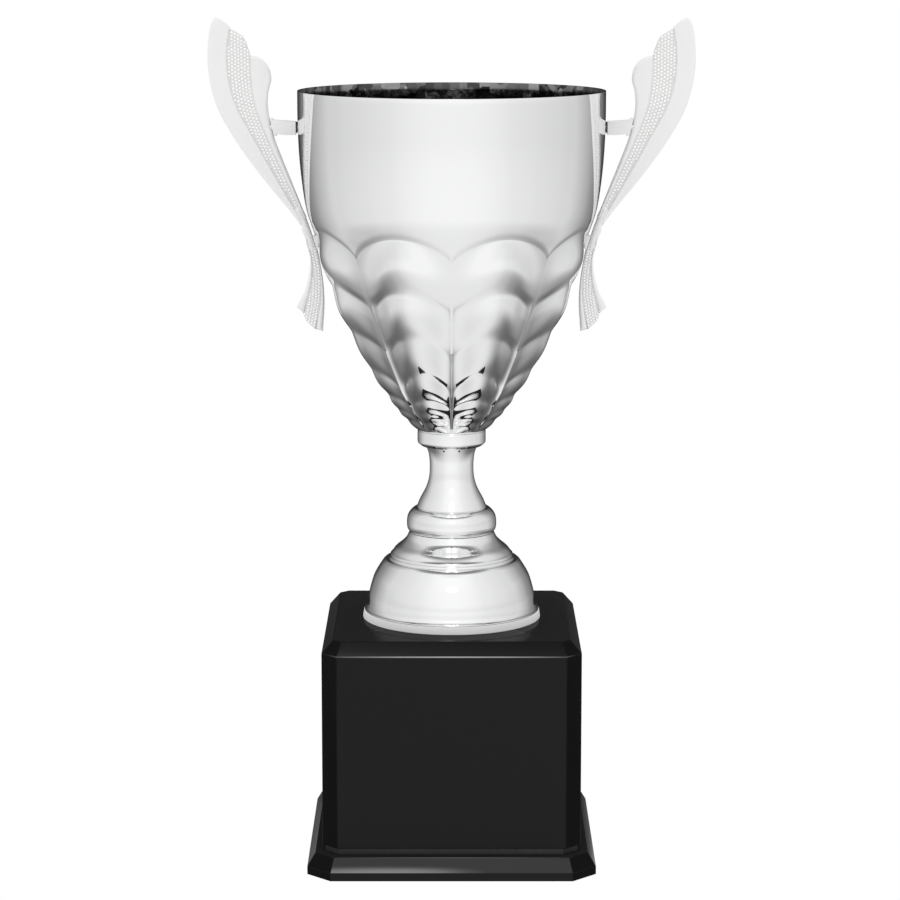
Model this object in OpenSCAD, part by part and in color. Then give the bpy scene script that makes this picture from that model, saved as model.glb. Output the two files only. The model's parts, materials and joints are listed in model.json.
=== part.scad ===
// Two-handled cup trophy on a square black base.
// Frame: millimetres, +Z up, origin on the table under the middle of the base.
// The handles lie in the XZ plane, one on each side, and the front faces -Y.

/* [Base] */
// Width of the plinth across its flat sides
plinth_w = 151; // [140:1:170]
// Width of the block across its flat sides
block_w = 135; // [120:1:138]
// Height of the top of the block above the table
block_top = 125; // [110:1:150]
// Wall of the moulded block and plinth
base_wall = 3.5; // [2.5:0.5:5]
// Thickness of the ballast slab inside the block
ballast_h = 30; // [10:5:60]

/* [Cup] */
// Height of the rim above the table
rim_z = 405; // [402:1:410]
// Outer radius at the rim
rim_r = 80.5; // [80:0.1:81]
// Thickness of the pressed sheet
sheet = 0.8; // [0.6:0.1:1]

/* [Handles] */
// Thickness of the smooth lobes, front to back
lobe_t = 6; // [5:0.5:8]
// Thickness of the web that carries the pearls
web_t = 4.4; // [3:0.2:5]
// Height of the screws that hold the upper brackets
upper_screw_z = 385.8; // [384.5:0.1:386.5]
// Height of the screws that hold the lower lugs
lower_screw_z = 325.4; // [325:0.1:326]

/* [Tie rod] */
// Radius of the M6 threaded rod
rod_r = 3; // [2.5:0.5:4]
// Radial clearance of the parts threaded on the rod
rod_gap = 0.25; // [0.1:0.05:0.5]

/* [Hidden] */
$fn = 96;

chrome_c = [0.86, 0.87, 0.88];
satin_c = [0.93, 0.93, 0.92];
black_c = [0.06, 0.06, 0.065];
steel_c = [0.6, 0.61, 0.62];
felt_c = [0.12, 0.12, 0.12];
board_c = [0.36, 0.25, 0.16];
cement_c = [0.58, 0.57, 0.54];

rod_hole_r = rod_r + rod_gap;

// Heights of the layers of the base
foot_h = 1.2;
skirt_z = 0.5;
board_h = 2;
board_top = foot_h + board_h;
plinth_top = 12;
plinth_deck = 2.5;
plinth_wall = 3;
plinth_bevel = [4.3, 7.2];      // run and rise of the bevel
plinth_cut = 12.5;              // length that each corner cut takes off a side
ledge = 2;
shadow_h = 3.5;
shadow_inset = 1.5;
block_z = plinth_top + shadow_h;
block_bevel = [5.9, 6.9];
block_cut = 8;
block_deck = 4;
boss_r = 5;
boss_at = 54;
board_boss_at = 62;
foot_at = 57;
foot_r = 8;

// Screws: shaft radius, head radius, head height
m4 = [1.95, 3.9, 2.4];
m3 = [1.45, 2.9, 2.2];
screw_gap = 0.05;
m4_hole_r = m4[0] + screw_gap;
m3_hole_r = m3[0] + screw_gap;
pilot_deep = 16;                // pilot holes up into the block's bosses
board_screw_len = 8;
board_head_h = 0.7;
plinth_screw_len = 20;

// M6 nuts and washers on the rod
nut_r = 5.77;                   // to the corners of the hexagon
nut_h = 5;
spring_washer_r = 5.6;
spring_washer_h = 1.5;
clamp_w = 44;
clamp_cut = 5;
bowl_washer_r = 13;
bowl_washer_h = 1.2;
cap_hex_h = 5.5;
cap_dome_r = 4.9;
over = 1;                       // overrun of a cutter past the face it cuts

// Heights of the stack on the rod
ring_top = 129;
bell_top = 158;
flare_top = 171.2;
knop_top = 184.3;
stem_top = 217.5;
cup_z = 226;
clamp_t = 2;
deck_z = block_top - block_deck;
rod_bottom = deck_z - 12;
rod_end = 236;

// Creases between the rows of pillows on the cup, from the top: height, radius
creases = [
    [327, 68.9], [303, 63.8], [275, 52], [258, 42.7],
    [245.5, 34.3], [237.5, 28.9], [231.5, 23.6], [cup_z, 18.5]
];
pillow_rise = [1.4, 1.6, 1, 0.9, 0.5, 0.4, 0.3];
inner_set = sheet + 0.3;         // inward step of the inner skin at each crease

// Fixings of the handles, along X from the middle of the cup
upper_head_x = 78.3;            // outer face of the screw head inside the cup
lower_head_x = 65.4;
upper_screw_end = 101;
lower_screw_end = 75;
bracket_x = 81.25;
lug_x = 69.7;
upper_gasket_r = 2.9;
lower_gasket_r = 2;
lower_gasket_x = 69.25;
upper_washer_r = 4.4;
upper_washer_x = 79.1;
lower_washer_r = 3.2;
lower_washer_x = 66;

// Point at fraction t of a centripetal spline between b and c
function gap_of(a, b) = pow(norm(b - a), 0.5);
function mix(a, b, ta, tb, t) = a * (tb - t) / (tb - ta) + b * (t - ta) / (tb - ta);
function spline_at(a, b, c, d, f) =
    let (
        t1 = gap_of(a, b),
        t2 = t1 + gap_of(b, c),
        t3 = t2 + gap_of(c, d),
        t = t1 + (t2 - t1) * f,
        ab = mix(a, b, 0, t1, t),
        bc = mix(b, c, t1, t2, t),
        cd = mix(c, d, t2, t3, t),
        abc = mix(ab, bc, 0, t2, t),
        bcd = mix(bc, cd, t1, t3, t)
    )
    mix(abc, bcd, t1, t2, t);

// Smooth line through the points of keys, with n steps between neighbours
function spline(keys, n = 4) =
    let (
        last = len(keys) - 1,
        ends = concat([2 * keys[0] - keys[1]], keys, [2 * keys[last] - keys[last - 1]])
    )
    concat(
        [for (i = [0:last - 1], k = [0:n - 1])
            spline_at(ends[i], ends[i + 1], ends[i + 2], ends[i + 3], k / n)],
        [keys[last]]
    );

function backwards(list) = [for (i = [len(list) - 1:-1:0]) list[i]];

// Eight-sided outline of a square with cut corners
function octagon(w, cut) =
    let (h = w / 2, s = w / 2 - cut)
    [[h, -s], [h, s], [s, h], [-s, h], [-h, s], [-h, -s], [-s, -h], [s, -h]];

module oct_prism(w, cut, z0, z1) {
    translate([0, 0, z0])
        linear_extrude(z1 - z0)
            polygon(octagon(w, cut));
}

// Long bar with the bevelled cross-section of the block or the plinth
module bevelled_bar(across, bevel, z0, z1) {
    h = across / 2;
    rotate([90, 0, 0])
        linear_extrude(across * 1.5, center = true)
            polygon([
                [-h, z0], [h, z0], [h, z1 - bevel[1]], [h - bevel[0], z1],
                [bevel[0] - h, z1], [-h, z1 - bevel[1]]
            ]);
}

// Square block with cut corners and a bevel round all eight top edges
module bevelled_block(w, cut, bevel, z0, z1) {
    corner_across = (w - cut) * sqrt(2);
    intersection() {
        bevelled_bar(w, bevel, z0, z1);
        rotate([0, 0, 90])
            bevelled_bar(w, bevel, z0, z1);
        rotate([0, 0, 45])
            bevelled_bar(corner_across, bevel, z0, z1);
        rotate([0, 0, -45])
            bevelled_bar(corner_across, bevel, z0, z1);
    }
}

module at_corners(reach) {
    for (sx = [-1, 1], sy = [-1, 1])
        translate([sx * reach, sy * reach, 0])
            children();
}

module both_sides() {
    children();
    mirror([1, 0, 0])
        children();
}

// Turned piece: outer outline from the bottom up, with the rod's bore
module turned(outline, bore = rod_hole_r) {
    z0 = outline[0][1];
    z1 = outline[len(outline) - 1][1];
    rotate_extrude()
        polygon(concat([[bore, z0]], outline, [[bore, z1]]));
}

// Cylinder along +X from x0 to x1 at height z
module x_rod(r, x0, x1, z) {
    translate([x0, 0, z])
        rotate([0, 90, 0])
            cylinder(r = r, h = x1 - x0);
}

// Base, from the table up

module feet() {
    color(felt_c)
        at_corners(foot_at)
            cylinder(r = foot_r, h = foot_h);
}

module bottom_board() {
    board_w = plinth_w - 2 * plinth_wall - 1;
    color(board_c)
        difference() {
            oct_prism(board_w, plinth_cut - 2, foot_h, board_top);
            for (side = [0:3])
                rotate([0, 0, 90 * side])
                    translate([board_boss_at, 0, foot_h - over])
                        cylinder(r = m3_hole_r, h = board_h + 2 * over);
        }
}

module board_screws() {
    color(steel_c)
        for (side = [0:3])
            rotate([0, 0, 90 * side])
                translate([board_boss_at, 0, 0]) {
                    translate([0, 0, foot_h - board_head_h])
                        cylinder(r = m3[1], h = board_head_h);
                    translate([0, 0, foot_h])
                        cylinder(r = m3[0], h = board_screw_len);
                }
}

module plinth() {
    in_w = plinth_w - 2 * plinth_wall;
    hollow_w = in_w - 2 * ledge;
    hollow_top = plinth_top - plinth_deck;
    color(black_c)
        difference() {
            union() {
                difference() {
                    bevelled_block(plinth_w, plinth_cut, plinth_bevel, skirt_z, plinth_top);
                    oct_prism(in_w, plinth_cut - 2, skirt_z - over, board_top);
                    oct_prism(hollow_w, plinth_cut - 1, board_top - over, plinth_top - plinth_bevel[1]);
                    oct_prism(
                        hollow_w - 2 * plinth_bevel[0], plinth_cut - 1,
                        board_top, hollow_top
                    );
                }
                for (side = [0:3])
                    rotate([0, 0, 90 * side])
                        translate([board_boss_at, 0, board_top])
                            cylinder(r = boss_r, h = hollow_top - board_top + over);
            }
            for (side = [0:3])
                rotate([0, 0, 90 * side])
                    translate([board_boss_at, 0, board_top - over])
                        cylinder(r = m3_hole_r, h = board_screw_len - board_h + over + 0.2);
            at_corners(boss_at)
                translate([0, 0, hollow_top - over])
                    cylinder(r = m4_hole_r, h = plinth_deck + 2 * over);
        }
}

module shadow_board() {
    color(black_c)
        difference() {
            oct_prism(block_w - 2 * shadow_inset, block_cut, plinth_top, block_z);
            at_corners(boss_at)
                translate([0, 0, plinth_top - over])
                    cylinder(r = m4_hole_r, h = shadow_h + 2 * over);
        }
}

module plinth_screws() {
    head_z = plinth_top - plinth_deck;
    color(steel_c)
        at_corners(boss_at)
            translate([0, 0, head_z]) {
                translate([0, 0, -m4[2]])
                    cylinder(r = m4[1], h = m4[2]);
                cylinder(r = m4[0], h = plinth_screw_len);
            }
}

module base_block() {
    in_w = block_w - 2 * base_wall;
    boss_h = 25;
    rib_t = 2;
    color(black_c)
        difference() {
            union() {
                difference() {
                    bevelled_block(block_w, block_cut, block_bevel, block_z, block_top);
                    oct_prism(in_w, block_cut - 1, block_z - over, block_top - block_bevel[1]);
                    oct_prism(in_w - 2 * block_bevel[0], block_cut - 1, block_z, deck_z);
                }
                at_corners(boss_at)
                    translate([0, 0, block_z])
                        cylinder(r = boss_r, h = boss_h);
                // Ribs that tie each boss to the two walls beside it
                for (side = [0:3])
                    rotate([0, 0, 90 * side])
                        for (sy = [-1, 1])
                            translate([boss_at, sy * boss_at - rib_t / 2, block_z])
                                cube([in_w / 2 - boss_at + over, rib_t, boss_h]);
            }
            translate([0, 0, deck_z - over])
                cylinder(r = rod_hole_r, h = block_deck + 2 * over);
            at_corners(boss_at)
                translate([0, 0, block_z - over])
                    cylinder(r = m4_hole_r, h = pilot_deep + over);
        }
}

// Slab that fills the block between its four bosses
module ballast() {
    color(cement_c)
        oct_prism(block_w - 15, 22, block_z, block_z + ballast_h);
}

module clamp_plate() {
    bottom = deck_z - clamp_t;
    color(steel_c)
        difference() {
            oct_prism(clamp_w, clamp_cut, bottom, deck_z);
            translate([0, 0, bottom - over])
                cylinder(r = rod_hole_r, h = clamp_t + 2 * over);
        }
}

module spring_washer() {
    bottom = deck_z - clamp_t - spring_washer_h;
    color(steel_c)
        difference() {
            translate([0, 0, bottom])
                cylinder(r = spring_washer_r, h = spring_washer_h);
            translate([0, 0, bottom - over])
                cylinder(r = rod_hole_r, h = spring_washer_h + 2 * over);
        }
}

module base_nut() {
    bottom = deck_z - clamp_t - spring_washer_h - nut_h;
    color(steel_c)
        difference() {
            translate([0, 0, bottom])
                cylinder(r = nut_r, h = nut_h, $fn = 6);
            translate([0, 0, bottom - over])
                cylinder(r = rod_r, h = nut_h + 2 * over);
        }
}

module tie_rod() {
    color(steel_c)
        translate([0, 0, rod_bottom])
            cylinder(r = rod_r, h = rod_end - rod_bottom);
}

// Foot, knop and stem, threaded on the rod

module foot_ring() {
    color(chrome_c)
        turned([
            [46.8, block_top], [47.4, block_top + 0.6], [47.4, ring_top - 0.6], [46.8, ring_top]
        ], 30);
}

// Hollow bell that carries the foot ring, with its flange on top of the ring
module bell() {
    outside = spline([
        [46.6, 129.2], [45.2, 130.4], [44.5, 133.2], [44.1, 137.5], [43.2, 141.5],
        [41.3, 147.5], [38.8, 152], [36.4, 155.8]
    ], 3);
    inside = spline([[42, ring_top], [41, 140], [38, 147], [33, 153], [8, 154]], 3);
    color(chrome_c)
        rotate_extrude()
            polygon(concat(
                [[46.6, ring_top]], outside,
                [[34.6, 156.9], [33.4, 157.2], [33.2, bell_top], [rod_hole_r, bell_top]],
                [[rod_hole_r, block_top], [8, block_top]],
                backwards(inside)
            ));
}

module flare() {
    outline = spline([
        [32.2, 160], [29.9, 162.7], [26.4, 165.4], [24.1, 167.6], [22.8, 170.2]
    ], 3);
    color(chrome_c)
        turned(concat([[32.6, bell_top], [32.6, 159.2]], outline, [[22.4, flare_top]]));
}

module knop() {
    outline = spline([
        [22, flare_top], [23.4, 173.2], [23.8, 176], [23.4, 179.6], [21.9, 182], [18.9, knop_top]
    ], 4);
    color(chrome_c)
        turned(outline);
}

module stem() {
    outline = spline([
        [18.4, 185], [16.8, 188.8], [13.4, 195.2], [12, 200.4], [11.7, 204.5], [12.1, 209.5],
        [13.3, 213.6], [15.2, stem_top]
    ], 3);
    color(chrome_c)
        turned(concat([[18.4, knop_top]], outline));
}

module collar() {
    color(chrome_c)
        turned([
            [15.8, stem_top], [17.9, 219.2], [18.1, 219.8], [18.1, 225.2], [17.5, cup_z]
        ]);
}

// Cup

// Bulged outline of row k between two creases, without its last point
function pillow(k, n = 6) =
    let (a = creases[k], b = creases[k + 1])
    [for (i = [0:n - 1])
        let (t = i / n)
        [a[1] + (b[1] - a[1]) * t + pillow_rise[k] * sin(180 * pow(t, 0.8)),
         a[0] + (b[0] - a[0]) * t]
    ];

module bowl() {
    wall = spline([
        [rim_r, rim_z - 0.6], [80.4, 388], [79.6, 371], [78, 355], [75.9, 342.5], [73.4, 335]
    ], 3);
    rows = [for (k = [0:len(pillow_rise) - 1]) each pillow(k)];
    bottom_r = creases[len(creases) - 1][1];
    inner_rows = [
        for (k = [len(creases) - 2:-1:0])
            [creases[k][1] - inner_set, creases[k][0] + inner_set / 2]
    ];
    inner_wall = [for (p = backwards(wall)) [p[0] - sheet, p[1]]];
    color(chrome_c)
        difference() {
            rotate_extrude()
                polygon(concat(
                    [[rim_r - 0.3, rim_z]], wall, rows,
                    [[bottom_r, cup_z], [rod_hole_r, cup_z], [rod_hole_r, cup_z + sheet],
                     [bottom_r - 1, cup_z + sheet]],
                    inner_rows, inner_wall, [[rim_r - sheet + 0.3, rim_z]]
                ));
            both_sides() {
                x_rod(m4_hole_r, 70, 90, upper_screw_z);
                x_rod(m3_hole_r, 60, 75, lower_screw_z);
            }
        }
}

module bowl_washer() {
    color(steel_c)
        difference() {
            translate([0, 0, cup_z + sheet])
                cylinder(r = bowl_washer_r, h = bowl_washer_h);
            translate([0, 0, cup_z + sheet - over])
                cylinder(r = rod_hole_r, h = bowl_washer_h + 2 * over);
        }
}

// Cap nut: hexagon with a blind bore and a domed top
module bowl_nut() {
    seat = cup_z + sheet + bowl_washer_h;
    end_gap = 0.2;
    color(steel_c)
        difference() {
            union() {
                translate([0, 0, seat])
                    cylinder(r = nut_r, h = cap_hex_h, $fn = 6);
                translate([0, 0, seat + cap_hex_h])
                    intersection() {
                        sphere(r = cap_dome_r);
                        cylinder(r = cap_dome_r + over, h = cap_dome_r);
                    }
            }
            translate([0, 0, seat - over])
                cylinder(r = rod_r, h = rod_end - seat + over + end_gap);
        }
}

// Right handle in the XZ plane, from the outside of the cup outwards

handle_inner = [
    [104.9, 423], [99.6, 421.8], [95.3, 417.2], [93.8, 411.2], [95.4, 404], [95.7, 396],
    [93, 382], [88.1, 368.5], [81.4, 351.7], [75.7, 337], [71.9, 325], [68.6, 312],
    [67, 296], [67.9, 278.5]
];
tail_end = [
    [69.6, 277.2], [72, 279.8], [74.4, 282], [76.9, 284.6], [77.6, 287.8], [80.3, 289.4]
];
handle_outer = [
    [81.7, 291.5], [77.2, 300.5], [74.7, 311.5], [74.7, 320.5], [76.6, 327], [78.4, 333.4],
    [86, 343.5], [94.6, 354], [104.4, 366.7], [114.2, 381.1], [122.6, 397], [126.7, 415],
    [126.6, 430], [124.6, 440.2]
];
tip = [[122, 442.8], [118.4, 440.6]];
notch = [[115.6, 435.8], [115.2, 434.6]];
pearl_top = [[113.6, 435.5], [109.3, 433], [106.3, 427.6]];

// Lines that divide the smooth lobes from the pearl field
outer_divide = [
    [115.7, 435.6], [117.1, 424], [115.9, 408.7], [111.7, 396.5], [103.8, 382], [91.3, 359.9],
    [77.9, 337.1]
];
inner_divide = [
    [104.9, 423], [104.7, 411], [102.7, 397.2], [96.1, 379.3], [86.3, 357.6], [77.4, 338.9]
];
tail_outer_divide = [[76.6, 327], [73.2, 316], [73.4, 304], [77.8, 287.7]];
tail_inner_divide = [[71.9, 325], [69.3, 312], [68.9, 298], [71.9, 279.7]];

module xz_plate(outline, t) {
    rotate([90, 0, 0])
        linear_extrude(t, center = true)
            polygon(outline);
}

module handle() {
    whole = concat(
        spline(handle_inner), tail_end, spline(handle_outer), spline(tip, 1), notch,
        spline(pearl_top, 2)
    );
    upper_outer = [for (i = [5:len(handle_outer) - 1]) handle_outer[i]];
    upper_inner = [for (i = [0:9]) handle_inner[i]];
    difference() {
        union() {
            xz_plate(whole, web_t);
            xz_plate(concat(spline(upper_outer), tip, spline(outer_divide)), lobe_t);
            xz_plate(concat(spline(upper_inner), backwards(spline(inner_divide))), lobe_t);
            // Waist where the three lobes run together
            xz_plate([
                [77.4, 341], [73.5, 331], [71.4, 323], [75.6, 323], [76.6, 327], [78.4, 333.4],
                [80.4, 337]
            ], lobe_t);
            xz_plate(concat(
                spline([for (i = [0:4]) handle_outer[4 - i]]), [[80.3, 289.4]],
                backwards(spline(tail_outer_divide))
            ), lobe_t);
            xz_plate(concat(
                spline([for (i = [10:13]) handle_inner[i]]), [[69.6, 277.2]],
                backwards(spline(tail_inner_divide))
            ), lobe_t);
        }
        x_rod(m4_hole_r, 85, upper_screw_end + 0.2, upper_screw_z);
        x_rod(m3_hole_r, 65, lower_screw_end + 0.2, lower_screw_z);
    }
}

module handle_right() {
    color(satin_c)
        handle();
}

module handle_left() {
    color(satin_c)
        mirror([1, 0, 0])
            handle();
}

// Strap from the cup to the handle, with a flange that follows the handle's edge
module upper_bracket() {
    color(satin_c)
        difference() {
            xz_plate([
                [bracket_x, 381.9], [86.5, 381.9], [91.6, 382.4], [91.3, 381.4], [92.75, 381.4],
                [94.05, 387], [94.7, 390.6], [93.5, 390.6], [93.2, 389.7], [86.5, 389.2],
                [bracket_x, 388.9]
            ], lobe_t);
            x_rod(m4_hole_r, 80, 96, upper_screw_z);
        }
}

module upper_bracket_right() {
    upper_bracket();
}

module upper_bracket_left() {
    mirror([1, 0, 0])
        upper_bracket();
}

// Short rounded lug between the cup's first row and the handle's neck
module lower_lug() {
    color(satin_c)
        difference() {
            xz_plate([
                [lug_x, 322.4], [70.8, 322], [71.7, 325], [72.9, 328.9], [71.6, 329.3],
                [70.5, 328.7], [lug_x, 327.4]
            ], lobe_t);
            x_rod(m3_hole_r, 68, 76, lower_screw_z);
        }
}

module lower_lug_right() {
    lower_lug();
}

module lower_lug_left() {
    mirror([1, 0, 0])
        lower_lug();
}

// Ring along X with a bore
module x_ring(outer_r, bore_r, x0, x1, z) {
    difference() {
        x_rod(outer_r, x0, x1, z);
        x_rod(bore_r, x0 - 1, x1 + 1, z);
    }
}

module upper_gaskets() {
    color(black_c)
        both_sides()
            x_ring(upper_gasket_r, m4_hole_r, rim_r, bracket_x, upper_screw_z);
}

module lower_gaskets() {
    color(black_c)
        both_sides()
            x_ring(lower_gasket_r, m3_hole_r, lower_gasket_x, lug_x, lower_screw_z);
}

// Screw along +X: size is shaft radius, head radius, head height
module x_screw(size, head_x, end_x, z) {
    x_rod(size[1], head_x - size[2], head_x, z);
    x_rod(size[0], head_x, end_x, z);
}

module upper_screws() {
    color(steel_c)
        both_sides()
            x_screw(m4, upper_head_x, upper_screw_end, upper_screw_z);
}

module lower_screws() {
    color(steel_c)
        both_sides()
            x_screw(m3, lower_head_x, lower_screw_end, lower_screw_z);
}

module upper_washers() {
    color(steel_c)
        both_sides()
            x_ring(upper_washer_r, m4_hole_r, upper_head_x, upper_washer_x, upper_screw_z);
}

module lower_washers() {
    color(steel_c)
        both_sides()
            x_ring(lower_washer_r, m3_hole_r, lower_head_x, lower_washer_x, lower_screw_z);
}

bottom_board();
board_screws();
feet();
plinth();
shadow_board();
plinth_screws();
base_block();
ballast();
clamp_plate();
spring_washer();
base_nut();
tie_rod();
foot_ring();
bell();
flare();
knop();
stem();
collar();
bowl();
bowl_washer();
bowl_nut();
handle_left();
handle_right();
upper_bracket_left();
upper_bracket_right();
lower_lug_left();
lower_lug_right();
upper_gaskets();
lower_gaskets();
upper_screws();
lower_screws();
upper_washers();
lower_washers();
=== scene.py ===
# %% [markdown]
# # A two-handled cup trophy
#
# The cup is a silver bowl with rows of scalloped pillows, a pair of wing-shaped handles, a turned
# foot, knop and stem, and a black gloss base in two steps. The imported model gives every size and
# place, and this lesson builds the looks around it. Lengths below are in millimetres, multiplied
# by MM where they meet Blender, which works in metres.

# %% Load the frame
import json
import math

import bmesh
import bpy
import numpy as np
from mathutils import Matrix, Vector


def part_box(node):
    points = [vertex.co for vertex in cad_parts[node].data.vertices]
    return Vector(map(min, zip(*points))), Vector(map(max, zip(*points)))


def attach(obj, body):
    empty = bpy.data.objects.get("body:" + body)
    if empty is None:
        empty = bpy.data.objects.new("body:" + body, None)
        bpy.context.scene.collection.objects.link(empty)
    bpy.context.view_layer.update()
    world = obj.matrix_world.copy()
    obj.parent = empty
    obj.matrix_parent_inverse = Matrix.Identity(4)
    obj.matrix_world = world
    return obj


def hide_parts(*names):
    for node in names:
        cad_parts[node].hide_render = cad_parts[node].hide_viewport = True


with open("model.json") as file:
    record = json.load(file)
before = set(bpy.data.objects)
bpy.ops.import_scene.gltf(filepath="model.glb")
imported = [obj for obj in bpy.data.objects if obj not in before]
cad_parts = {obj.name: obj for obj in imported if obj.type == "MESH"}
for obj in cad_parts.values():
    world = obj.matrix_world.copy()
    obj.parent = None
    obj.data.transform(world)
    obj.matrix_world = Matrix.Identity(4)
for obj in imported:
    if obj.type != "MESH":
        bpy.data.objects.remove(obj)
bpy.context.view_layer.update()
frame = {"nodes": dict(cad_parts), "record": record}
MM = 0.001
nodes = frame["nodes"]

# %% [markdown]
# ## Camera
#
# A long lens from 1.6 m away looks slightly down, so that the rim, the foot ring and the top of
# the block all show as shallow ellipses. A nearer camera with a wide lens would show the same
# width of object, but would open the rim's ellipse and make the base look small, so the distance
# comes first and the lens follows from it. The camera aims along its own pitch, with no shift.

# %% Camera
lens_mm = 123.2
camera_at = Vector((-0.85, -1613.3, 492.6)) * MM
pitch_down = math.radians(9.77)
camera_data = bpy.data.cameras.new("camera")
camera_data.lens = lens_mm
camera_data.sensor_width = 36
camera = bpy.data.objects.new("camera", camera_data)
camera.location = camera_at
camera.rotation_euler = (math.pi / 2 - pitch_down, 0, 0)
camera_data.clip_end = 100.0
bpy.context.scene.collection.objects.link(camera)
bpy.context.scene.camera = camera
print("camera at", [round(v, 3) for v in camera_at])

# %% [markdown]
# ## Node helpers
#
# Materials are node trees. These helpers add a node, set its inputs by name and join sockets, so
# that each finish below reads as a short recipe.


# %% Node helpers
def add_node(tree, kind, settings=None, **inputs):
    """A node with its settings, each input set to a value or joined to another node's socket."""
    node = tree.nodes.new(kind)
    for name, value in (settings or {}).items():
        setattr(node, name, value)
    for name, value in inputs.items():
        set_input(tree, node, name.replace("_", " "), value)
    return node


def set_input(tree, node, name, value):
    """Sets an input by name or number to a value, or joins another node's socket to it."""
    socket = node.inputs[int(name)] if name.isdigit() else node.inputs[name]
    if isinstance(value, bpy.types.NodeSocket):
        tree.links.new(value, socket)
    else:
        socket.default_value = value


def math_node(tree, operation, first, second=0.0, clamp=False):
    """One sum of two numbers or sockets, as a socket."""
    node = tree.nodes.new("ShaderNodeMath")
    node.operation = operation
    node.use_clamp = clamp
    set_input(tree, node, "0", first)
    set_input(tree, node, "1", second)
    return node.outputs[0]


def ramp(tree, value, stops, interpolation="LINEAR"):
    """A colour ramp through (position, grey) stops, as a socket."""
    node = tree.nodes.new("ShaderNodeValToRGB")
    node.color_ramp.interpolation = interpolation
    elements = node.color_ramp.elements
    while len(elements) < len(stops):
        elements.new(0.5)
    for element, (position, grey) in zip(elements, stops):
        element.position = position
        element.color = (grey, grey, grey, 1)
    tree.links.new(value, node.inputs[0])
    return node.outputs[0]


def halved(tree, value, share):
    """Brings a value between -1 and 1 to between 0 and 1, by multiplying with share first."""
    node = math_node(tree, "MULTIPLY_ADD", value, share).node
    node.inputs[2].default_value = 0.5
    return node.outputs[0]


print("helpers: add_node, set_input, math_node, ramp, halved")

# %% [markdown]
# ## Studio
#
# Polished silver has almost no colour of its own: it shows the room. A studio gives it a broad
# white front and lets the room fall dark behind, which gives the silver its grey to black edges.
# Area lamps and cards could do this, but each would have to be hidden from the camera. Here the
# world does it all: soft white light comes from the whole sky, a little stronger from above,
# while what mirrors in the object is painted by direction. It is bright in front, dark behind
# and overhead, with one soft lamp high in front. The floor is plain white, and mirrors the same
# way, except close to the object, where a real floor lies in the object's shade.

# %% Brightness of the room by heading
# From straight behind the object (0) to straight in front of it (1)
BY_HEADING = [
    (0.0, 0.03), (0.03, 0.08), (0.065, 0.2), (0.18, 0.39), (0.345, 0.66), (0.48, 0.73),
    (0.72, 0.81), (0.86, 0.87), (1.0, 0.98)
]


def length_of(tree, east, north):
    """Length of a direction or place on the floor plan."""
    squares = math_node(tree, "MULTIPLY", east, east), math_node(tree, "MULTIPLY", north, north)
    return math_node(tree, "SQRT", math_node(tree, "ADD", *squares))


def brightness_by_heading(tree, east, north, stops):
    """Brightness of the room towards a direction on the floor plan."""
    length = math_node(tree, "MAXIMUM", length_of(tree, east, north), 1e-4)
    cosine = math_node(tree, "DIVIDE", north, length)
    return ramp(tree, halved(tree, cosine, -0.5), stops, "CARDINAL")


print("room by heading:", len(BY_HEADING), "stops")


# %% Sky
# Brightness by height: the horizon is 0.5, straight up is 1
BY_HEIGHT = [
    (0.0, 0.6), (0.48, 0.95), (0.54, 0.96), (0.6, 1.02), (0.9, 1.06), (0.945, 0.4), (1.0, 0.12)
]
LAMP_TOWARDS = (0.0, -0.81, 0.586)
LAMP_SIZE = [(0.0, 0.0), (0.989, 0.0), (0.994, 0.3), (0.998, 1.0), (1.0, 1.0)]
LAMP_POWER = 5.0
# The soft light on matt surfaces: from a level direction, and what straight up adds
LEVEL_LIGHT = 0.93
LIGHT_FROM_ABOVE = 0.35

world = bpy.data.worlds.new("studio")
bpy.context.scene.world = world
world.use_nodes = True
sky = world.node_tree
sky.nodes.clear()
direction = add_node(sky, "ShaderNodeTexCoord").outputs["Generated"]
parts = add_node(sky, "ShaderNodeSeparateXYZ", Vector=direction)
heading = brightness_by_heading(sky, parts.outputs["X"], parts.outputs["Y"], BY_HEADING)
height = halved(sky, parts.outputs["Z"], 0.5)
around = math_node(sky, "MULTIPLY", heading, ramp(sky, height, BY_HEIGHT))
facing_lamp = add_node(sky, "ShaderNodeVectorMath", {"operation": "DOT_PRODUCT"})
sky.links.new(direction, facing_lamp.inputs[0])
facing_lamp.inputs[1].default_value = LAMP_TOWARDS
lamp = math_node(sky, "MULTIPLY", ramp(sky, facing_lamp.outputs["Value"], LAMP_SIZE), LAMP_POWER)
mirrored = math_node(sky, "ADD", around, lamp)
rays = add_node(sky, "ShaderNodeLightPath")
from_above = math_node(sky, "MULTIPLY", parts.outputs["Z"], LIGHT_FROM_ABOVE)
even = math_node(sky, "MAXIMUM", math_node(sky, "ADD", from_above, LEVEL_LIGHT), 1.0)
even_light = add_node(sky, "ShaderNodeBackground", Color=(1, 1, 1, 1), Strength=even)
mirrored_light = add_node(sky, "ShaderNodeBackground", Color=(1, 1, 1, 1), Strength=mirrored)
sky_mix = add_node(sky, "ShaderNodeMixShader", Fac=rays.outputs["Is Glossy Ray"])
sky.links.new(even_light.outputs[0], sky_mix.inputs[1])
sky.links.new(mirrored_light.outputs[0], sky_mix.inputs[2])
add_node(sky, "ShaderNodeOutputWorld", Surface=sky_mix.outputs[0])
bpy.context.scene.view_settings.view_transform = "Standard"
print("sky:", len(sky.nodes), "nodes")

# %% Floor
FLOOR_RADIUS = 40.0
# Close to the object the floor is darker in mirrors, most of all beside and behind it
BY_HEADING_CLOSE = [
    (0.0, 0.03), (0.15, 0.1), (0.5, 0.22), (0.7, 0.42), (0.86, 0.64), (1.0, 0.84)
]
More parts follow.
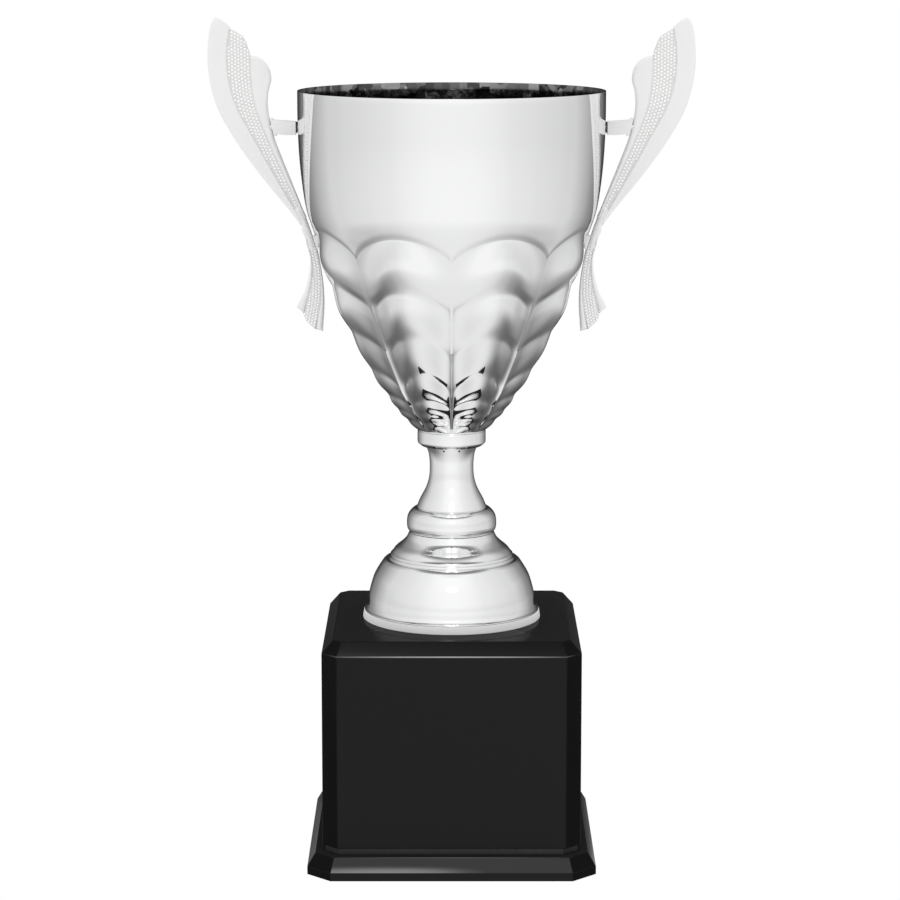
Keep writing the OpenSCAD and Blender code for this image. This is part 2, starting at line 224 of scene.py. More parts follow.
# From close to far, by distance in metres, and the far floor fading to the horizon's brightness
CLOSE_TO_FAR = [(0.0, 0.0), (0.26, 0.0), (0.75, 1.0), (1.0, 1.0)]
FADE_DISTANCE = 3.0
TO_HORIZON = [(0.0, 1.0), (0.4, 1.0), (1.0, 0.95)]

floor_material = bpy.data.materials.new("white_floor")
floor_material.use_nodes = True
tree = floor_material.node_tree
tree.nodes.clear()
place = add_node(tree, "ShaderNodeTexCoord").outputs["Object"]
parts = add_node(tree, "ShaderNodeSeparateXYZ", Vector=place)
far = brightness_by_heading(tree, parts.outputs["X"], parts.outputs["Y"], BY_HEADING)
close = brightness_by_heading(tree, parts.outputs["X"], parts.outputs["Y"], BY_HEADING_CLOSE)
distance = length_of(tree, parts.outputs["X"], parts.outputs["Y"])
brightness = add_node(tree, "ShaderNodeMix", Factor=ramp(tree, distance, CLOSE_TO_FAR, "EASE"))
tree.links.new(close, brightness.inputs[2])
tree.links.new(far, brightness.inputs[3])
fade = ramp(tree, math_node(tree, "DIVIDE", distance, FADE_DISTANCE), TO_HORIZON)
floor_mirrored = add_node(
    tree, "ShaderNodeEmission", Strength=math_node(tree, "MULTIPLY", brightness.outputs[0], fade)
)
floor_white = add_node(tree, "ShaderNodeEmission", Color=(1, 1, 1, 1), Strength=1.0)
rays = add_node(tree, "ShaderNodeLightPath")
floor_mix = add_node(tree, "ShaderNodeMixShader", Fac=rays.outputs["Is Glossy Ray"])
tree.links.new(floor_white.outputs[0], floor_mix.inputs[1])
tree.links.new(floor_mirrored.outputs[0], floor_mix.inputs[2])
add_node(tree, "ShaderNodeOutputMaterial", Surface=floor_mix.outputs[0])

bm = bmesh.new()
bmesh.ops.create_circle(bm, cap_ends=True, segments=64, radius=FLOOR_RADIUS)
floor_mesh = bpy.data.meshes.new("floor")
bm.to_mesh(floor_mesh)
bm.free()
floor = bpy.data.objects.new("floor", floor_mesh)
floor_mesh.materials.append(floor_material)
bpy.context.scene.collection.objects.link(floor)
print("floor:", FLOOR_RADIUS * 2, "m across,", len(tree.nodes), "nodes")

# %% [markdown]
# ## Shared surface effects
#
# Two effects come back on many pieces. Handling leaves faint smudges, which only change how
# sharp a surface mirrors, and a fine grain gives metal, board and felt their tooth. Copying the
# same nodes into every material would work, but a change would then have to be made many times,
# so each effect is a node group with named inputs, built once and given its own values.


# %% Effect groups
def new_group(name, inputs, outputs):
    """An empty shader node group with float inputs {name: default} and the outputs named."""
    group = bpy.data.node_groups.new(name, "ShaderNodeTree")
    group.interface.new_socket("Vector", in_out="INPUT", socket_type="NodeSocketVector")
    for key, default in inputs.items():
        socket = group.interface.new_socket(key, in_out="INPUT", socket_type="NodeSocketFloat")
        socket.default_value = default
    for key in outputs:
        group.interface.new_socket(key, in_out="OUTPUT", socket_type="NodeSocketFloat")
    return group, group.nodes.new("NodeGroupInput"), group.nodes.new("NodeGroupOutput")


def make_smudges():
    """Roughness between Low and High, in soft patches with finer streaks inside them."""
    group, given, result = new_group(
        "smudges", {"Scale": 30.0, "Low": 0.05, "High": 0.1}, ["Roughness"]
    )
    patches = add_node(
        group, "ShaderNodeTexNoise", Vector=given.outputs["Vector"],
        Scale=given.outputs["Scale"], Detail=4.0, Roughness=0.6,
    )
    fine_scale = math_node(group, "MULTIPLY", given.outputs["Scale"], 9.0)
    streaks = add_node(
        group, "ShaderNodeTexNoise", Vector=given.outputs["Vector"],
        Scale=fine_scale, Detail=2.0, Roughness=0.5,
    )
    both = math_node(group, "MULTIPLY", patches.outputs["Fac"], streaks.outputs["Fac"])
    share = add_node(group, "ShaderNodeMapRange", {"clamp": True}, Value=both)
    share.inputs["From Min"].default_value = 0.16
    share.inputs["From Max"].default_value = 0.38
    set_input(group, share, "To Min", given.outputs["Low"])
    set_input(group, share, "To Max", given.outputs["High"])
    group.links.new(share.outputs[0], result.inputs["Roughness"])
    return group


def make_grain():
    """Height from 0 to 1 of a fine random grain, stretched along one axis by Stretch."""
    group, given, result = new_group("grain", {"Scale": 400.0, "Stretch": 1.0}, ["Height"])
    squeeze = add_node(group, "ShaderNodeCombineXYZ", X=1.0, Y=1.0, Z=given.outputs["Stretch"])
    stretched = add_node(group, "ShaderNodeVectorMath", {"operation": "MULTIPLY"})
    group.links.new(given.outputs["Vector"], stretched.inputs[0])
    group.links.new(squeeze.outputs[0], stretched.inputs[1])
    texture = add_node(
        group, "ShaderNodeTexNoise", Vector=stretched.outputs[0],
        Scale=given.outputs["Scale"], Detail=3.0, Roughness=0.65,
    )
    group.links.new(texture.outputs["Fac"], result.inputs["Height"])
    return group


SMUDGES = make_smudges()
GRAIN = make_grain()
print("groups:", [g.name for g in bpy.data.node_groups])


# %% A finish from its parts
def start_finish(name, colour, metallic=0.0, roughness=0.5, **shader_values):
    """A material with a Principled shader, and its object coordinates to paint by."""
    material = bpy.data.materials.new(name)
    material.use_nodes = True
    tree = material.node_tree
    shader = tree.nodes["Principled BSDF"]
    shader.inputs["Base Color"].default_value = (*colour, 1)
    shader.inputs["Metallic"].default_value = metallic
    shader.inputs["Roughness"].default_value = roughness
    for key, value in shader_values.items():
        shader.inputs[key.replace("_", " ")].default_value = value
    place = tree.nodes.new("ShaderNodeTexCoord").outputs["Object"]
    return material, tree, shader, place


def add_smudges(tree, shader, place, scale, low, high):
    """Roughness from the smudges group."""
    node = add_node(tree, "ShaderNodeGroup", {"node_tree": SMUDGES})
    for key, value in {"Vector": place, "Scale": scale, "Low": low, "High": high}.items():
        set_input(tree, node, key, value)
    tree.links.new(node.outputs["Roughness"], shader.inputs["Roughness"])


def grain_height(tree, place, scale, stretch=1.0):
    """Height of a grain, as a socket."""
    node = add_node(tree, "ShaderNodeGroup", {"node_tree": GRAIN})
    for key, value in {"Vector": place, "Scale": scale, "Stretch": stretch}.items():
        set_input(tree, node, key, value)
    return node.outputs["Height"]


def add_bump(tree, shader, height, strength, depth_mm):
    """Lets a height of depth_mm turn the surface's normal."""
    bump = add_node(tree, "ShaderNodeBump", Height=height, Strength=strength)
    bump.inputs["Distance"].default_value = depth_mm * MM
    tree.links.new(bump.outputs["Normal"], shader.inputs["Normal"])


def tint(tree, shader, mask, dark, light):
    """Base colour that runs from dark to light as mask goes from 0 to 1."""
    mix = add_node(tree, "ShaderNodeMix", {"data_type": "RGBA"})
    tree.links.new(mask, mix.inputs["Factor"])
    mix.inputs[6].default_value = (*dark, 1)
    mix.inputs[7].default_value = (*light, 1)
    tree.links.new(mix.outputs[2], shader.inputs["Base Color"])


print("finish steps: start_finish, add_smudges, grain_height, add_bump, tint")

# %% [markdown]
# ## Silver finishes
#
# The bowl and the turned pieces are bright silver plate over a polished blank: a mirror with a
# very slight haze from buffing. A perfect mirror would look lifeless, so smudges move the
# roughness a little and fine marks run round from the buffing wheel. The inner skin of the bowl
# is plated too, but its colour is painted dark as shade, with lighter square-edged patches of
# painted reflection, which a Voronoi texture with Chebychev distance draws.


# %% Bowl and foot finishes
def polished_silver():
    """Bright plate with a faint haze and buffing marks."""
    material, tree, shader, place = start_finish("polished_silver", (0.93, 0.932, 0.935), 1.0)
    add_smudges(tree, shader, place, 24.0, 0.02, 0.055)
    buffing = grain_height(tree, place, 260.0, 6.0)
    add_bump(tree, shader, buffing, 0.06, 0.02)
    return material


def cup_inside():
    """The inner skin of the bowl: plate painted dark as shade, blotched with painted reflections.
    """
    material, tree, shader, place = start_finish("cup_inside", (0.3, 0.3, 0.3), 1.0)
    patches = add_node(
        tree, "ShaderNodeTexVoronoi", {"feature": "F1", "distance": "CHEBYCHEV"},
        Vector=place, Scale=190.0,
    )
    # Painted shade and reflection: the inner plate's colour runs from near black to grey in square
    # patches
    grey = math_node(tree, "POWER", patches.outputs["Color"], 2.2)
    tint(tree, shader, grey, (0.02, 0.02, 0.02), (0.55, 0.55, 0.55))
    add_smudges(tree, shader, place, 60.0, 0.1, 0.25)
    return material


FINISHES = {make.__name__: make() for make in (polished_silver, cup_inside)}
print("finishes:", ", ".join(FINISHES))

# %% [markdown]
# ## Handle finishes
#
# The handles are castings. Their plate lies over a blasted surface, so they scatter light and
# look almost white, where the bowl mirrors. A rough metal would do, but under this room it goes
# grey at its edges; a pale, nearly diffuse surface with a weak mirror keeps the edges light. The
# ground between the pearls is duller and painted darker, as painted shade, and the pearls on it
# are painted lighter, as painted highlights.


# %% Handle finishes
def satin_silver():
    """Plate over a blasted casting."""
    material, tree, shader, place = start_finish(
        "satin_silver", (0.83, 0.83, 0.828), 0.04, IOR=1.02, Sheen_Weight=0.15,
        Sheen_Roughness=0.35,
    )
    add_smudges(tree, shader, place, 40.0, 0.3, 0.38)
    add_bump(tree, shader, grain_height(tree, place, 2600.0), 0.1, 0.02)
    return material


def matt_field_painted_shade():
    """The sunken ground between the pearls, duller, and painted darker as painted shade."""
    # Painted shade: the field's colour is darker than the lobes'
    colour = (0.75, 0.75, 0.748)
    material, tree, shader, place = start_finish("matt_field_painted_shade", colour, 0.05, IOR=1.12)
    add_smudges(tree, shader, place, 60.0, 0.45, 0.6)
    add_bump(tree, shader, grain_height(tree, place, 3200.0), 0.3, 0.03)
    return material


def pearl_painted_highlight():
    """The pearls, painted lighter than the lobes as painted highlights."""
    # Painted highlight: the pearls' colour is lighter than the lobes'
    colour = (0.98, 0.98, 0.975)
    material, tree, shader, place = start_finish("pearl_painted_highlight", colour, 0.2, IOR=1.2)
    add_smudges(tree, shader, place, 80.0, 0.2, 0.3)
    add_bump(tree, shader, grain_height(tree, place, 2600.0), 0.05, 0.01)
    return material


FINISHES.update({make.__name__: make() for make in (satin_silver, matt_field_painted_shade, pearl_painted_highlight)})
print("finishes:", ", ".join(FINISHES))

# %% [markdown]
# ## Black finishes
#
# The base is moulded in black and lacquered. One black for all of it would mirror the floor on
# the flat faces as strongly as on the bevels, so the one lacquer gets four finishes, by what a
# face looks at, each with light or shade painted into its colour. Bevels get a full gloss and the
# darkest black; flat faces a weak gloss and painted light, a greyer black; cut corners a weak gloss
# and painted shade, a black between the two; and the rounded edges between them carry a painted
# highlight, the thin line of light that shows where the block's front and the plinth's top begin.


# %% Black finishes
# The painted highlight, a light line painted into the edges' colour: how far it reaches sideways
# in metres, how it fades on the way, and where it lies, as shares of the height of the block's top
HIGHLIGHT_REACH = 0.08
HIGHLIGHT_FADE = [(0.0, 1.0), (0.35, 0.75), (0.7, 0.25), (0.8, 0.0)]
HIGHLIGHT_HEIGHTS = [(0.0, 0.0), (0.0925, 0.5), (0.1, 0.0), (0.9405, 1.0), (0.9485, 0.0)]


def black_gloss():
    """Bevels that face up and catch the room."""
    material, tree, shader, place = start_finish("black_gloss", (0.004, 0.004, 0.0042), IOR=1.5)
    add_smudges(tree, shader, place, 18.0, 0.03, 0.08)
    add_bump(tree, shader, grain_height(tree, place, 55.0), 0.05, 0.08)
    return material


def black_flat():
    """Broad flat faces with a weak mirror, painted greyer as painted light on the same lacquer."""
    material, tree, shader, place = start_finish("black_flat", (0.016, 0.016, 0.0163), IOR=1.06)
    add_smudges(tree, shader, place, 18.0, 0.04, 0.1)
    add_bump(tree, shader, grain_height(tree, place, 55.0), 0.05, 0.08)
    return material


def black_edge_painted_highlight():
    """Rounded edges, with a painted highlight: a fine light line in the colour along the front
    ones.
    """
    material, tree, shader, place = start_finish("black_edge_painted_highlight", (0.03, 0.03, 0.03), IOR=1.15)
    parts = add_node(tree, "ShaderNodeSeparateXYZ", Vector=place)
    aside = math_node(tree, "ABSOLUTE", parts.outputs["X"])
    highlight_across = ramp(tree, math_node(tree, "DIVIDE", aside, HIGHLIGHT_REACH), HIGHLIGHT_FADE)
    height = math_node(tree, "DIVIDE", parts.outputs["Z"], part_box("base_block")[1].z)
    line = math_node(tree, "MULTIPLY", highlight_across, ramp(tree, height, HIGHLIGHT_HEIGHTS, "CONSTANT"))
    # Painted highlight: the line lightens the edges' colour from near black to grey
    tint(tree, shader, line, (0.008, 0.008, 0.008), (0.34, 0.34, 0.34))
    add_smudges(tree, shader, place, 18.0, 0.05, 0.1)
    return material


def black_corner():
    """Cut corners, which look past the lights, painted darker than the flat faces as painted shade.
    """
    colour = (0.0065, 0.0065, 0.0067)
    material, tree, shader, place = start_finish("black_corner", colour, IOR=1.06)
    add_smudges(tree, shader, place, 18.0, 0.05, 0.12)
    add_bump(tree, shader, grain_height(tree, place, 55.0), 0.05, 0.08)
    return material


FINISHES.update({
    make.__name__: make() for make in (black_gloss, black_flat, black_edge_painted_highlight, black_corner)
})
print("finishes:", ", ".join(FINISHES))

# %% [markdown]
# ## Workshop finishes
#
# Inside and underneath are plain materials that nobody polishes: painted board, pressed fibre,
# zinc-plated steel, felt, hardboard and cement. Fibre, felt and cement take their colour from the
# same grain that makes their bump, so that dark and deep fall together as they do in real fibres
# and sand; zinc and hardboard take theirs from a grain of their own, and the board is plain.


# %% Workshop finishes
def black_board():
    """The painted board that makes the shadow gap."""
    material, tree, shader, place = start_finish("black_board", (0.02, 0.02, 0.021))
    add_smudges(tree, shader, place, 60.0, 0.5, 0.7)
    add_bump(tree, shader, grain_height(tree, place, 1500.0), 0.3, 0.06)
    return material


def black_fibre():
    """Pressed fibre washers."""
    colour = (0.03, 0.03, 0.03)
    material, tree, shader, place = start_finish("black_fibre", colour, roughness=0.85)
    height = grain_height(tree, place, 3000.0)
    tint(tree, shader, height, (0.012, 0.012, 0.012), (0.05, 0.05, 0.048))
    add_bump(tree, shader, height, 0.5, 0.06)
    return material


def zinc_steel():
    """Zinc-plated fasteners with a cloudy passivation."""
    material, tree, shader, place = start_finish("zinc_steel", (0.72, 0.735, 0.75), 1.0)
    add_smudges(tree, shader, place, 120.0, 0.16, 0.34)
    cloud = grain_height(tree, place, 160.0)
    tint(tree, shader, cloud, (0.62, 0.64, 0.68), (0.82, 0.82, 0.8))
    add_bump(tree, shader, grain_height(tree, place, 2200.0), 0.15, 0.02)
    return material


def felt():
    """The pads under the base."""
    material, tree, shader, place = start_finish(
        "felt", (0.02, 0.02, 0.022), roughness=1.0, Sheen_Weight=0.35, Sheen_Roughness=0.6
    )
    fibres = grain_height(tree, place, 2400.0)
    tint(tree, shader, fibres, (0.008, 0.008, 0.009), (0.05, 0.05, 0.053))
    add_bump(tree, shader, fibres, 0.9, 0.25)
    return material


def hardboard():
    """The board that closes the base."""
    material, tree, shader, place = start_finish("hardboard", (0.2, 0.11, 0.06), roughness=0.6)
    fibres = grain_height(tree, place, 420.0, 0.3)
    tint(tree, shader, fibres, (0.13, 0.07, 0.036), (0.3, 0.18, 0.1))
    add_bump(tree, shader, grain_height(tree, place, 1400.0), 0.35, 0.08)
    return material


def cement():
    """The weight cast inside the block."""
    material, tree, shader, place = start_finish("cement", (0.46, 0.45, 0.43), roughness=0.9)
    sand = grain_height(tree, place, 500.0)
    tint(tree, shader, sand, (0.34, 0.33, 0.31), (0.56, 0.55, 0.52))
    add_bump(tree, shader, sand, 0.7, 0.5)
    return material


FINISHES.update({
    make.__name__: make()
    for make in (black_board, black_fibre, zinc_steel, felt, hardboard, cement)
})
print("finishes:", ", ".join(FINISHES))

# %% [markdown]
# ## Finishing a piece
#
# Every piece ends the same way: its bmesh becomes an object at the origin, gets its finish, rides
# on the one body, and hides the CAD node that it stands for. Edges flatter than a given angle are
# shaded smooth and the others stay crisp, which keeps turned corners sharp without more faces.
#
# Two helpers draw outlines. A spline through a few measured points gives a profile its flow, and
# rounded corners take the razor edge off everything that a cutter or a polisher would break.


# %% Piece helpers
def finish_piece(bm, name, slot, node, smooth_below=40.0, material=None):
    """Turns a bmesh in millimetres into a piece that rides on the object and stands for node."""
    bmesh.ops.remove_doubles(bm, verts=bm.verts, dist=0.0005)
    bmesh.ops.recalc_face_normals(bm, faces=bm.faces)
    bmesh.ops.scale(bm, vec=(MM, MM, MM), verts=bm.verts)
    limit = math.radians(smooth_below)
    for face in bm.faces:
        face.smooth = True
    for edge in bm.edges:
        edge.smooth = edge.calc_face_angle(0) < limit
    mesh = bpy.data.meshes.new(name)
    bm.to_mesh(mesh)
    bm.free()
    piece = bpy.data.objects.new(name, mesh)
    bpy.context.scene.collection.objects.link(piece)
    mesh.materials.append(material or FINISHES[slot])
    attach(piece, "root")
    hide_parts(node)
    print(f"{name}: {len(mesh.vertices)} vertices, {len(mesh.polygons)} faces")
    return piece


# %% Outline helpers
def as_vectors(outline):
    """(radius, height) or (x, z) pairs as vectors."""
    return [Vector(point) for point in outline]


def smooth_line(keys, steps=6):
    """Points of a centripetal spline through keys, with steps between neighbours."""
    keys = as_vectors(keys)
    ends = [2 * keys[0] - keys[1], *keys, 2 * keys[-1] - keys[-2]]
    line = []
    for a, b, c, d in zip(ends, ends[1:], ends[2:], ends[3:]):
        t1 = (b - a).length ** 0.5
        t2 = t1 + (c - b).length ** 0.5
        t3 = t2 + (d - c).length ** 0.5
        for k in range(steps):
            t = t1 + (t2 - t1) * k / steps
            ab = a.lerp(b, t / t1)
            bc = b.lerp(c, (t - t1) / (t2 - t1))
            cd = c.lerp(d, (t - t2) / (t3 - t2))
            early = ab.lerp(bc, t / t2)
            late = bc.lerp(cd, (t - t1) / (t3 - t1))
            line.append(early.lerp(late, (t - t1) / (t2 - t1)))
    return [*line, keys[-1]]


def rounded(corners, radius, steps=4):
    """An open outline whose inner corners are rounded to radius, or less where there's no room."""
    corners = as_vectors(corners)
    line = [corners[0]]
    for before, corner, after in zip(corners, corners[1:], corners[2:]):
        inward, onward = before - corner, after - corner
        reach = min(radius, inward.length * 0.45, onward.length * 0.45)
        start = corner + inward.normalized() * reach
        end = corner + onward.normalized() * reach
        for k in range(steps + 1):
            t = k / steps
            line.append(start.lerp(corner, t).lerp(corner.lerp(end, t), t))
    return [*line, corners[-1]]


def runs_along(line):
    """How far along a line each of its points lies, from 0."""
    return np.cumsum([0, *[(b - a).length for a, b in zip(line, line[1:])]])


print("helpers: finish_piece, smooth_line, rounded, runs_along")

# %% [markdown]
# ## Turned pieces
#
# The foot ring, bell, flare, knop, stem and collar come off a lathe or a spinning chuck, so each
# is one outline turned about the axis: a few vertices joined by edges, then a full spin. Every
# sharp corner on real turned metal is broken by a small round, which is what catches the light,
# so the outlines have their corners rounded before they are spun. A Bevel modifier afterwards
# would cost more faces and would round the smooth profiles too.


# %% Turned pieces
def spin_round(bm, line, edges, steps):
    """Spins a line of vertices and its edges a full turn about Z."""
    bmesh.ops.spin(
        bm, geom=[*line, *edges], cent=(0, 0, 0), axis=(0, 0, 1), dvec=(0, 0, 0),
        angle=math.tau, steps=steps, use_merge=True, use_duplicate=False,
    )


def turned(outline, steps=192):
    """Closes an outline of (radius, height) points and spins it about Z."""
    bm = bmesh.new()
    line = [bm.verts.new((r, 0, z)) for r, z in outline]
    edges = [bm.edges.new(pair) for pair in zip(line, [*line[1:], line[0]])]
    spin_round(bm, line, edges, steps)
    return bm


# %% Heights of the stack, and the foot ring
rod_hole_r = 3.25
block_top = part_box("base_block")[1].z / MM
ring_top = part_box("foot_ring")[1].z / MM
bell_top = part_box("bell")[1].z / MM
flare_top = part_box("flare")[1].z / MM
knop_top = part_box("knop")[1].z / MM
stem_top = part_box("stem")[1].z / MM
cup_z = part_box("bowl")[0].z / MM
ring_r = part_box("foot_ring")[1].x / MM

ring_lean = 0.6
ring_outline = rounded([
    (30, block_top), (ring_r, block_top), (ring_r - ring_lean, ring_top), (44, ring_top),
    (30, ring_top)
], 0.2)
finish_piece(
    turned(ring_outline), "foot_ring", "polished_silver", "foot_ring",
    material=FINISHES["satin_silver"],
)

# %% [markdown]
# The bell is the big dome of the foot. It is spun over a former from one disc, rolled outwards at
# the foot and stepped at the shoulder, where the flare sits.

# %% Bell
bell_side = smooth_line([
    (45.6, 130.2), (44.75, 131.6), (44.4, 133.6), (44.1, 137.5), (43.2, 141.5), (41.3, 147.5),
    (38.8, 152), (36.6, 155.4)
], 5)
bell_outline = [
    *rounded([(42, ring_top), (46.6, ring_top), (46.6, 129.7), (45.6, 130.2)], 0.3),
    *bell_side[1:],
    *rounded([
        (36.6, 155.4), (35.3, 156.6), (34.3, 156.7), (33.7, 156.5), (33.3, 157.0),
        (33.2, bell_top), (20, bell_top)
    ], 0.25)[1:],
    (rod_hole_r, bell_top), (rod_hole_r, bell_top - 3), (33, 153), (38, 147), (41, 140),
]
finish_piece(turned(bell_outline), "bell", "polished_silver", "bell")

# %% [markdown]
# Flare, knop, stem and collar are separate rings threaded on one rod. The grooves between them
# are the joints, so each outline starts and ends at a joint and turns in a little before it.

# %% Flare
flare_side = smooth_line([
    (31.9, 159.9), (29.9, 162.5), (26.6, 165.2), (24.1, 167.8), (22.9, 170.2), (22.5, 170.9)
], 5)
flare_outline = [
    (rod_hole_r, bell_top),
    *rounded([(20, bell_top), (32.6, bell_top), (32.6, 159.3), (31.9, 159.9)], 0.2),
    *flare_side[1:], (21.6, flare_top), (rod_hole_r, flare_top),
]
finish_piece(turned(flare_outline), "flare", "polished_silver", "flare")

# %% Knop
knop_side = smooth_line([
    (22.4, 171.5), (23.3, 172.6), (23.75, 174.4), (23.8, 176.6), (23.4, 179.6), (22.1, 182),
    (20.6, 183.5)
], 5)
knop_outline = [
    (rod_hole_r, flare_top), (20.5, flare_top),
    *rounded([(20.5, flare_top), (22, flare_top), (22.4, 171.5)], 0.3)[1:],
    *knop_side[1:],
    *rounded([
        (20.6, 183.5), (19.6, 184.15), (18.9, 184.2), (18.5, knop_top), (16, knop_top)
    ], 0.3)[1:],
    (rod_hole_r, knop_top),
]
finish_piece(turned(knop_outline), "knop", "polished_silver", "knop")

# %% Stem and collar
stem_side = smooth_line([
    (18.2, 185.4), (16.8, 188.8), (13.5, 195.2), (12, 200.4), (11.6, 205.5), (11.8, 210.5),
    (12.5, 214.4), (13.6, 217.2)
], 6)
stem_outline = [
    (rod_hole_r, knop_top),
    *rounded([(15, knop_top), (18.4, knop_top), (18.4, 185.0), (18.2, 185.4)], 0.25),
    *stem_side[1:], (14.4, stem_top), (rod_hole_r, stem_top),
]
collar_outline = [
    (rod_hole_r, stem_top),
    *rounded([
        (13, stem_top), (15.8, stem_top), (17.9, 219.2), (18.1, 220.0), (18.1, 225.4),
        (17.4, cup_z), (15, cup_z)
    ], 0.4),
    (rod_hole_r, cup_z),
]
finish_piece(turned(stem_outline), "stem", "polished_silver", "stem")
finish_piece(turned(collar_outline), "collar", "polished_silver", "collar")

# %% [markdown]
# ## The bowl
#
# The bowl is pressed from sheet. Its upper half is plain, and its lower half has seven rows of
# pillows in eight columns. Each row starts at an arched crease: the arches peak in the middle of
# a column and meet in points at the valleys between columns. Sculpting or displacing a plain
# bowl would leave jagged creases. Instead, a straight line of vertices is spun round the axis,
# then each vertex moves to its place. The rings of vertices follow the arches, so every crease
# lies on a ring and stays clean.
#
# A pillow falls in slowly at first and steeply at its lower end, so its top mirrors the bright
# room and its underside the shaded floor. That change, row after row, is what draws the scallops.

# %% Measures of the scallops
COLUMNS = 8
STEPS_PER_COLUMN = 45
# For each crease from the top: height and radius at the middle of a column, then at a valley
CREASES = [
    (333.5, 72.8, 320.8, 68.4), (303.6, 65.6, 294.2, 58.2), (279.4, 55.0, 269.7, 47.2),
    (259.6, 44.4, 249.0, 36.4), (246.0, 35.0, 241.0, 30.4), (238.0, 29.6, 234.5, 25.8),
    (232.6, 24.6, 230.2, 21.6), (226.0, 18.0, 226.0, 18.0),
]
# For each row of pillows: how far it bulges, how much of its fall comes late, how far the arch is
# eased to a soft hollow half way down its valleys, and how many rings of vertices it gets
BULGES = [1.0, 0.3, 0.1, 0.0, 0.0, 0.0, 0.0]
FALLS = [0.85, 0.5, 0.32, 0.4, 0.5, 0.5, 0.4]
SOFT_VALLEYS = [0.85, 0.5, 0.3, 0.3, 0.2, 0.0, 0.0]
RINGS = [22, 20, 17, 13, 8, 6, 5]
LATE_FALL = 2.0
ARCH_POWER = 0.68
# The first crease steps in from the wall, over the wall's last few millimetres
FIRST_STEP = 0.55
TURN_IN_HEIGHT = 3.4
WALL_RINGS = 30
WALL_CROWDING = 1.7
SHEET = 0.8
rim_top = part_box("bowl")[1].z / MM - 0.02
wall_keys = [
    (68.6, 320), (70.7, 327), (73.0, 333.5), (75.9, 342.5), (78, 355), (79.6, 371), (80.35, 388),
    (80.44, rim_top)
]
wall_line = smooth_line(wall_keys, 12)
wall_radius = [p[0] for p in wall_line]
wall_height = [p[1] for p in wall_line]
print(len(BULGES), "rows,", COLUMNS, "columns, rim at", round(rim_top, 2), "mm")


# %% Where each vertex of the bowl goes
def wall_radius_at(z):
    """Radius of the plain wall at a height."""
    return float(np.interp(z, wall_height, wall_radius))


def across_column(angle):
    """0 in the middle of a column, 1 or -1 at the valleys; a valley faces the front."""
    turn = (angle + math.pi / 2) * COLUMNS / math.tau
    return 2 * (turn % 1) - 1


def crease_at(row, c, soft=0.0):
    """Height and radius of a crease at c across its column; soft rounds its cusps."""
    z_mid, r_mid, z_valley, r_valley = CREASES[row]
    arch = math.cos(math.pi * c / 2) ** ARCH_POWER if abs(c) < 1 else 0.0
    lobe = (1 + math.cos(math.pi * c)) / 2
    arch += (lobe - arch) * soft
    z = z_valley + (z_mid - z_valley) * arch
    if row == 0:
        return z, wall_radius_at(z) - FIRST_STEP
    return z, r_valley + (r_mid - r_valley) * lobe


def wall_point(t, c):
    """Point of the plain wall, from the rim at t = 0 to the first crease at t = 1."""
    z_crease, _ = crease_at(0, c)
    z = rim_top + (z_crease - rim_top) * t
    near = max(0.0, 1 - (z - z_crease) / TURN_IN_HEIGHT)
    return z, wall_radius_at(z) - FIRST_STEP * near * near * (3 - 2 * near)


def pillow_point(row, t, c):
    """Point of a pillow, from its upper crease at t = 0 to the next at t = 1."""
    soft = SOFT_VALLEYS[row] * min(1.0, 1.3 - 1.3 * (1 - 2 * t) ** 2)
    z0, r0 = crease_at(row, c, soft)
    z1, r1 = crease_at(row + 1, c, soft)
    lobe = (1 + math.cos(math.pi * c)) / 2
    late = t ** LATE_FALL
    share = FALLS[row] * lobe
    fall = share * late * late * (3 - 2 * late) + (1 - share) * t
    swell = BULGES[row] * (0.4 + 0.6 * lobe) * math.sin(math.pi * t) ** 2
    return z0 + (z1 - z0) * t, r0 + (r1 - r0) * fall + swell


def bowl_point(row, t, c):
    """Point on a row: -1 is the wall, and past the last row the floor, with t as its radius."""
    if row < 0:
        return wall_point(t, c)
    if row < len(RINGS):
        return pillow_point(row, t, c)
    return cup_z, t


end_r = CREASES[-1][1]
rings = [
    *[(-1, 1 - (1 - k / WALL_RINGS) ** WALL_CROWDING) for k in range(WALL_RINGS)],
    *[(row, k / count) for row, count in enumerate(RINGS) for k in range(count)],
    *[(len(RINGS), radius) for radius in (end_r, end_r - 0.8, 10.0, rod_hole_r)],
]
print("rings of vertices:", len(rings))


# %% Spin and press the bowl
bm = bmesh.new()
ring_of = bm.verts.layers.int.new("ring")
line = [bm.verts.new((50, 0, -k)) for k in range(len(rings))]
for k, vertex in enumerate(line):
    vertex[ring_of] = k
edges = [bm.edges.new(pair) for pair in zip(line, line[1:])]
spin_round(bm, line, edges, STEPS_PER_COLUMN * COLUMNS)
for vertex in bm.verts:
    angle = math.atan2(vertex.co.y, vertex.co.x)
    row, t = rings[vertex[ring_of]]
    z, radius = bowl_point(row, t, across_column(angle))
    vertex.co = (radius * math.cos(angle), radius * math.sin(angle), z)
bowl = finish_piece(bm, "bowl", "polished_silver", "bowl", smooth_below=80)

# %% [markdown]
# The pressed skin so far has no thickness. Solidify gives it the sheet's 0.8 mm on the inside,
# and its material offset gives the inner skin its own finish. A small Bevel rounds the rim, the
# only edge sharp enough to be caught by it.

# %% Give the bowl its sheet and rim
wall = bowl.modifiers.new("sheet", "SOLIDIFY")
wall.thickness = SHEET * MM
wall.offset = -1
wall.use_even_offset = False
bowl.data.materials.append(FINISHES["cup_inside"])
wall.material_offset = 1
lip = bowl.modifiers.new("rim", "BEVEL")
lip.width = 0.25 * MM
lip.segments = 2
lip.limit_method = "ANGLE"
lip.angle_limit = math.radians(60)
print("modifiers on the bowl:", [modifier.name for modifier in bowl.modifiers])

